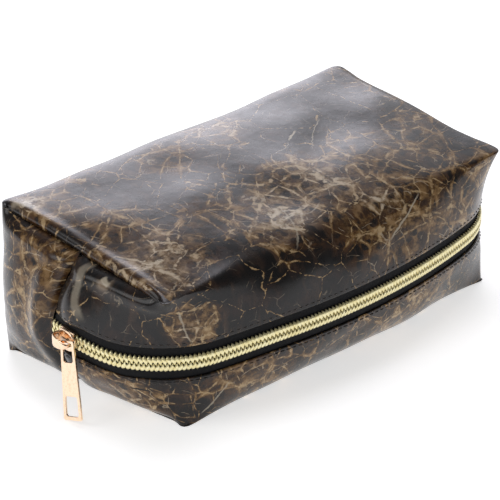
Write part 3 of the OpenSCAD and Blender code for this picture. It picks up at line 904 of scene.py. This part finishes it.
def coil_piece(name, sign):
    """One half of the chain, each turn slanting a little; the halves are half a pitch apart."""
    turns = Parts()
    count = int(2 * QUARTER / PITCH) - 1
    first = 0.5 * PITCH if sign < 0 else PITCH
    profile = oval(8, 2.4)
    slant = (0.6 - 1.2 * (TURN[:, 0] + 0.5) / 4.1) / QUARTER
    for k in range(count):
        u = (first + k * PITCH) / QUARTER
        path, along, out = chain_frame(u + slant, ZIP_Z + sign * TURN[:, 0], TURN[:, 1])
        turns.sweep(path, along, out, profile, TURN[:, 2:4])
    return dress(turns.piece(name), COIL)


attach(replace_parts(coil_piece("coil_lower", -1), "zip_coil_lower"), "pouch")
on_flap(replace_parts(coil_piece("coil_upper", 1), "zip_coil_upper", "zip_coil_upper_left_end",
                    "zip_coil_upper_right_end"))


def stitch_piece(name, z):
    """A row of lock stitches, each dipping into the sheet at its ends."""
    row = Parts()
    long, gap = 2.5, 0.7
    t = np.linspace(0, 1, 7)
    rise = 0.25 - 0.45 * np.sin(math.pi * t) ** 0.5
    thick = 0.2 * (0.6 + 0.4 * np.sin(math.pi * t))
    for k in range(int((2 * QUARTER - 4) / (long + gap))):
        u = (2 + k * (long + gap) + t * long) / QUARTER
        path, along, out = chain_frame(u, np.full(len(t), z), rise)
        row.sweep(path, same(UP, len(t)), out, oval(6), thick[:, None])
    return dress(row.piece(name), THREAD)


# Distance of the topstitching from the sheet's folded edge
STITCH_IN = 1.7
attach(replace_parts(stitch_piece("stitches_lower", EDGE_LOW - STITCH_IN), "topstitch_lower"),
        "pouch")
on_flap(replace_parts(stitch_piece("stitches_upper", EDGE_HIGH + STITCH_IN), "topstitch_upper"))


# ---- slider and tab
def by_slider(out, along, up):
    """Points beside the slider: out from the zip's path, along it to the front, and up."""
    out, along, up = np.broadcast_arrays(*(np.asarray(v, float) for v in (out, along, up)))
    turn = math.atan2(OUT[1], OUT[0]) + along / ARC_R
    r = ARC_R + out
    return np.stack([PIVOT[0] + r * np.cos(turn), PIVOT[1] + r * np.sin(turn), ZIP_Z + up], -1)


def plate_rings(parts, layers, half_l, half_w, power, taper):
    """A slab with a rounded outline, as rings of its outline at each height."""
    outline = oval(56, power)
    along, up = outline[:, 0] * half_l, outline[:, 1] * half_w
    up = up * (1 - taper * smooth(along / half_l, -0.4, 1.0))
    rings = []
    for out, inset in layers:
        share = 1 - inset / half_w
        rings.append(by_slider(out, along * (1 - inset / half_l), up * share))
    parts.add(np.concatenate(rings), tube_faces(len(rings), len(outline)))


# Half length, half width, squareness and taper of the slider's plates
PLATE = (5.6, 5.1, 2.7, 0.12)


def slider_piece():
    """Two plates, each a list of heights and insets, with side flanges and the dividing post."""
    parts = Parts()
    top = [(0.9, 0.35), (0.98, 0.1), (1.2, 0.0), (1.75, 0.0), (2.0, 0.12), (2.15, 0.4),
           (2.22, 0.9), (2.3, 1.8), (2.34, 3.0)]
    plate_rings(parts, top, *PLATE)
    back = [(-3.9, 0.7), (-3.8, 0.3), (-3.5, 0.05), (-2.9, 0.0), (-2.68, 0.15), (-2.6, 0.4)]
    plate_rings(parts, back, *PLATE)
    for sign in (-1, 1):
        y = np.linspace(-4.2, 4.6, 14)
        width = 4.6 * (1 - PLATE[3] * smooth(y / PLATE[0], -0.4, 1.0))
        path = by_slider(0.35, y, sign * width)
        out = unit(path - by_slider(-10.0, y, sign * width))
        parts.sweep(path, same(UP, len(y)), out, oval(14, 4.0), same((0.55, 1.1), len(y)))
    n = 8
    path = by_slider(-0.8, np.linspace(-4.9, -2.0, n), 0.0)
    post = np.stack([np.linspace(0.72, 0.45, n), np.full(n, 2.2)], -1)
    parts.sweep(path, same(UP, n), same(OUT, n), oval(12, 5.0), post)
    return parts.piece("slider_shell")


# The strap over the slider, from its rear foot to the leg that holds the tab: along the
# chain, height over the plate, half width, half thickness
STRAP = np.array([
    (-4.55, -0.10, 2.9, 0.55), (-4.72, 1.25, 3.0, 0.55), (-4.55, 2.65, 3.0, 0.55),
    (-3.80, 3.75, 2.9, 0.52), (-2.20, 4.22, 2.7, 0.48), (-0.20, 4.32, 2.4, 0.48),
    (1.80, 4.25, 2.0, 0.48), (3.20, 3.90, 1.5, 0.52), (3.98, 3.25, 1.0, 0.60),
    (4.20, 2.40, 0.64, 0.62), (4.20, 1.30, 0.62, 0.62), (4.20, 0.40, 0.66, 0.66),
    (4.20, -0.10, 0.90, 0.90)])


def strap_piece():
    knots = np.arange(len(STRAP))
    fine = np.linspace(0, len(STRAP) - 1, 49)
    row = np.stack([np.interp(fine, knots, STRAP[:, i]) for i in range(4)], -1)
    for _ in range(3):
        row[1:-1] = (row[:-2] + 2 * row[1:-1] + row[2:]) / 4
    path = by_slider(2.25 + row[:, 1], row[:, 0], 0.0)
    ahead = unit(np.gradient(path, axis=0))
    side = same(UP, len(path))
    parts = Parts()
    parts.sweep(path, side, unit(np.cross(side, ahead)), oval(20, 3.0), row[:, 2:4])
    return parts.piece("slider_strap")


def bevelled_plate(name, loops, thick, bevel):
    """A flat plate from rounded outlines, with bevelled edges, in its own plane."""
    curve = bpy.data.curves.new(name, "CURVE")
    curve.dimensions, curve.fill_mode = "2D", "BOTH"
    curve.extrude, curve.bevel_depth, curve.bevel_resolution = thick / 2 - bevel, bevel, 3
    curve.offset = -bevel
    for loop in loops:
        spline = curve.splines.new("POLY")
        spline.points.add(len(loop) - 1)
        spline.use_cyclic_u = True
        for point, (x, y) in zip(spline.points, loop):
            point.co = (x, y, 0, 1)
    shape = bpy.data.objects.new(name, curve)
    mesh = bpy.data.meshes.new_from_object(shape)
    bpy.data.objects.remove(shape)
    return mesh


def rounded_loop(corners, radius, steps=6):
    """A polygon with its corners rounded."""
    loop = []
    n = len(corners)
    for i in range(n):
        p = Vector(corners[i])
        a, b = (Vector(corners[i - 1]) - p).normalized(), (
            Vector(corners[(i + 1) % n]) - p).normalized()
        half = a.angle(b) / 2
        reach = radius / math.tan(half)
        centre = p + (a + b).normalized() * (radius / math.sin(half))
        start, end = p + a * reach - centre, p + b * reach - centre
        for k in range(steps + 1):
            loop.append(tuple(centre + start.slerp(end, k / steps)))
    return loop


# Degrees that the tab hangs out, leans and turns at rest
TAB_POSE = ((15, "X"), (-9, "Y"), (15, "Z"))


def tab_piece():
    """The pull tab: a tapered plate with a window for the leg and one near its tip."""
    drop, top, t = 32.4, 2.1, 0.9
    outline = rounded_loop([(-5.1, -drop), (5.1, -drop), (3.6, top), (-3.6, top)], 0.9)
    upper = rounded_loop([(-2.15, -6.8), (2.15, -6.8), (1.95, 0.8), (-1.95, 0.8)][::-1], 0.55)
    lower = rounded_loop([(-2.85, -30.2), (2.85, -30.2), (2.75, -22.6), (-2.75, -22.6)][::-1],
                         0.45)
    mesh = bevelled_plate("pull_tab_plate", [outline, upper, lower], t, 0.14)
    hang, lean, yaw = (Matrix.Rotation(math.radians(degrees), 3, axis)
                       for degrees, axis in TAB_POSE)
    turn = np.array([OUT, ALONG, (0, 0, 1)]).T @ np.array(hang @ yaw @ lean)
    co = np.array([v.co for v in mesh.vertices], float)[:, [2, 0, 1]]
    world = TAB_PIVOT + co @ turn.T
    mesh.vertices.foreach_set("co", (world * MM).astype(np.float32).ravel())
    mesh.shade_smooth()
    mesh.set_sharp_from_angle(angle=math.radians(28))
    mesh.update()
    obj = bpy.data.objects.new("pull_tab_plate", mesh)
    bpy.context.scene.collection.objects.link(obj)
    return obj


slider = slider_piece()
slider.data.set_sharp_from_angle(angle=math.radians(40))
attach(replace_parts(dress(slider, ROSE), "slider_body"), "slider")
strap = strap_piece()
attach(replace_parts(dress(strap, ROSE), "slider_bridge"), "slider")
tab = tab_piece()
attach(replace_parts(dress(tab, ROSE), "pull_tab"), "pull")
spring = frame["nodes"]["slider_lock_spring"]
spring.data.materials.clear()
spring.data.materials.append(SPRING)


# ---- bindings inside
# How far the end seam's allowance stands inside the wall
ALLOWANCE = 6.2


def binding_piece(name, path, side, out, wide, thick):
    """A narrow band of cloth folded over a seam allowance."""
    parts = Parts()
    parts.sweep(path, side, out, oval(12, 3.0), same((wide / 2, thick / 2), len(path)))
    return dress(parts.piece(name), BINDING)


for sign, word in ((-1, "left"), (1, "right")):
    node = "end_seam_binding_" + word
    low, high = node_box(node)
    z = np.linspace(low[2], high[2], 24)
    edge = wall(1, np.full(len(z), 0.0 if sign < 0 else 2.0), z, ALLOWANCE)
    path = np.stack([edge[:, 0], np.full(len(z), (low[1] + high[1]) / 2), z], -1)
    side = same((0, 1, 0), len(z))
    out = unit(np.cross(np.gradient(path, axis=0), side))
    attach(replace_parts(binding_piece("seam_binding_" + word, path, side, out, 2.5, 1.5), node),
            "pouch")
    for part in ("lower", "rear", "flap"):
        node = f"boxed_binding_{part}_{word}"
        low, high = node_box(node)
        y = np.linspace(low[1], high[1], 20)
        mid = (low + high) / 2
        path = settle(np.stack([np.full(len(y), mid[0]), y, np.full(len(y), mid[2])], -1))
        made = binding_piece(f"corner_binding_{part}_{word}", path, same(UP, len(y)),
                             same((1, 0, 0), len(y)), 3.5, 1.7)
        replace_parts(made, node)
        if part == "flap":
            on_flap(made)
        else:
            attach(made, "pouch")


# ---- floor, light, camera
def area_light(name, at, size, energy, target=(0, 0, 0.03), tint=(1, 1, 1)):
    data = bpy.data.lights.new(name, "AREA")
    data.shape, data.size, data.size_y = "RECTANGLE", size[0], size[1]
    data.energy, data.color = energy, tint
    obj = bpy.data.objects.new(name, data)
    obj.location = at
    obj.rotation_mode = "QUATERNION"
    obj.rotation_quaternion = (Vector(target) - Vector(at)).to_track_quat("-Z", "Y")
    bpy.context.scene.collection.objects.link(obj)


def studio():
    g = Graph("studio_floor")
    at = g.node("TexCoord").outputs["Object"]
    tone = g.noise(at, 1.5, 3)
    colour = g.mix(tone, rgb(0.90, 0.90, 0.90), rgb(0.93, 0.93, 0.93))
    paper = g.finish({"Base Color": colour, "Roughness": 0.8, "Specular IOR Level": 0.2,
                      "Emission Color": rgb(1, 1, 1), "Emission Strength": 0.62})
    work = bmesh.new()
    bmesh.ops.create_grid(work, x_segments=8, y_segments=8, size=4.0)
    mesh = bpy.data.meshes.new("floor")
    work.to_mesh(mesh)
    work.free()
    floor = bpy.data.objects.new("floor", mesh)
    mesh.materials.append(paper)
    bpy.context.scene.collection.objects.link(floor)
    floor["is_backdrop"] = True
    world = bpy.data.worlds.new("studio")
    world.use_nodes = True
    world.node_tree.nodes["Background"].inputs[0].default_value = rgb(1, 1, 1)
    world.node_tree.nodes["Background"].inputs[1].default_value = 0.18
    bpy.context.scene.world = world
    area_light("panel_back", (1.7, 1.4, 1.1), (2.4, 1.3), 9, tint=(0.95, 0.95, 1.0))
    area_light("panel_back_left", (1.1, 1.9, 0.7), (1.5, 1.4), 15, tint=(0.92, 0.90, 1.0))
    area_light("key_left", (-1.6, 0.7, 1.1), (1.2, 1.0), 9)
    area_light("top", (0.5, 0.6, 2.6), (1.2, 1.2), 20, tint=(0.95, 0.93, 1.0))
    bpy.context.scene.view_settings.view_transform = "Standard"


# The camera: degrees round and up from the front, distance, the place it looks at, lens in mm
AZIMUTH, ELEVATION, DISTANCE = -42.3, 28.2, 1.2
LOOK_AT = Vector((-0.0065, -0.0021, 0.035))
LENS = 191.93


def camera():
    turn, rise = math.radians(AZIMUTH), math.radians(ELEVATION)
    back = Vector((math.sin(turn) * math.cos(rise), -math.cos(turn) * math.cos(rise),
                   math.sin(rise)))
    data = bpy.data.cameras.new("camera")
    data.sensor_width, data.lens = 36.0, LENS
    data.clip_start, data.clip_end = 0.05, 20
    obj = bpy.data.objects.new("camera", data)
    obj.location = LOOK_AT + back * DISTANCE
    obj.rotation_mode = "QUATERNION"
    obj.rotation_quaternion = (-back).to_track_quat("-Z", "Y")
    bpy.context.scene.collection.objects.link(obj)
    bpy.context.scene.camera = obj


studio()
camera()
low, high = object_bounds()
